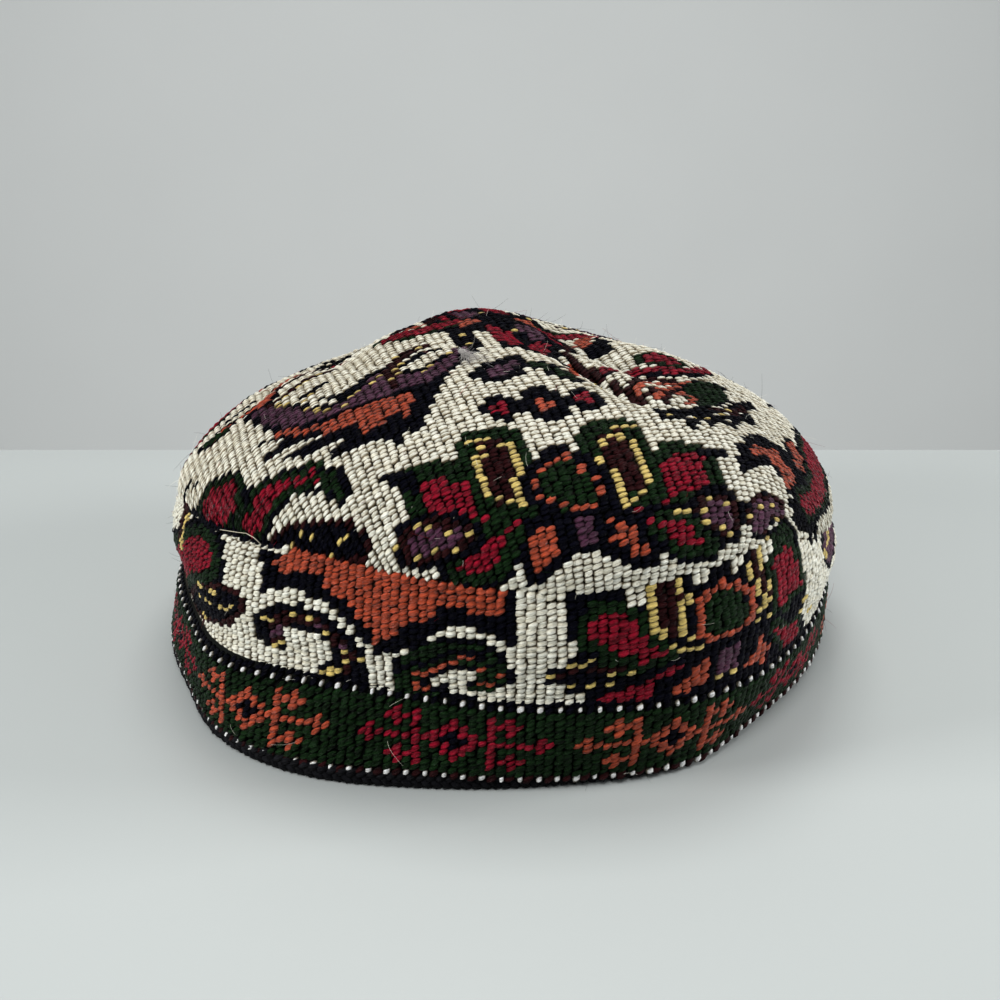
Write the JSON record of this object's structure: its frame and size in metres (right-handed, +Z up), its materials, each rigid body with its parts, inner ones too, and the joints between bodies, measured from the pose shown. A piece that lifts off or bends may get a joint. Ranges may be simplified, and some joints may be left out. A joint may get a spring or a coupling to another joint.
{
  "type": "skullcap",
  "caption": "Round soft skullcap with a domed crown, a side wall, a patterned band and a braided edge, standing on its hem.",
  "frame": {"origin": "middle of the cap's outline in plan, on the surface that its hem stands on", "axes": "+Z up through the crown; -Y is the front of the cap as pictured; +X to the right seen from the front"},
  "size_m": [0.18, 0.1826, 0.0844],
  "materials": {
    "ivory_thread": "ivory silk thread in close slanting stitches, softly glossy",
    "green_thread": "dark green silk thread in close slanting stitches",
    "black_braid": "black plaited cord, matt",
    "crimson_thread": "crimson silk thread in close slanting stitches",
    "orange_thread": "orange silk thread in close slanting stitches",
    "plum_thread": "plum silk thread in close slanting stitches",
    "maroon_thread": "dark maroon silk thread in close slanting stitches",
    "yellow_thread": "yellow silk thread in close slanting stitches",
    "navy_thread": "navy silk thread in close slanting stitches",
    "white_thread": "white cotton thread in single stitches"
  },
  "bodies": {
    "root": {"edge_braid": "black_braid", "band": "green_thread", "side_wall": "ivory_thread", "crown_top": "ivory_thread"}
  },
  "joints": []
}
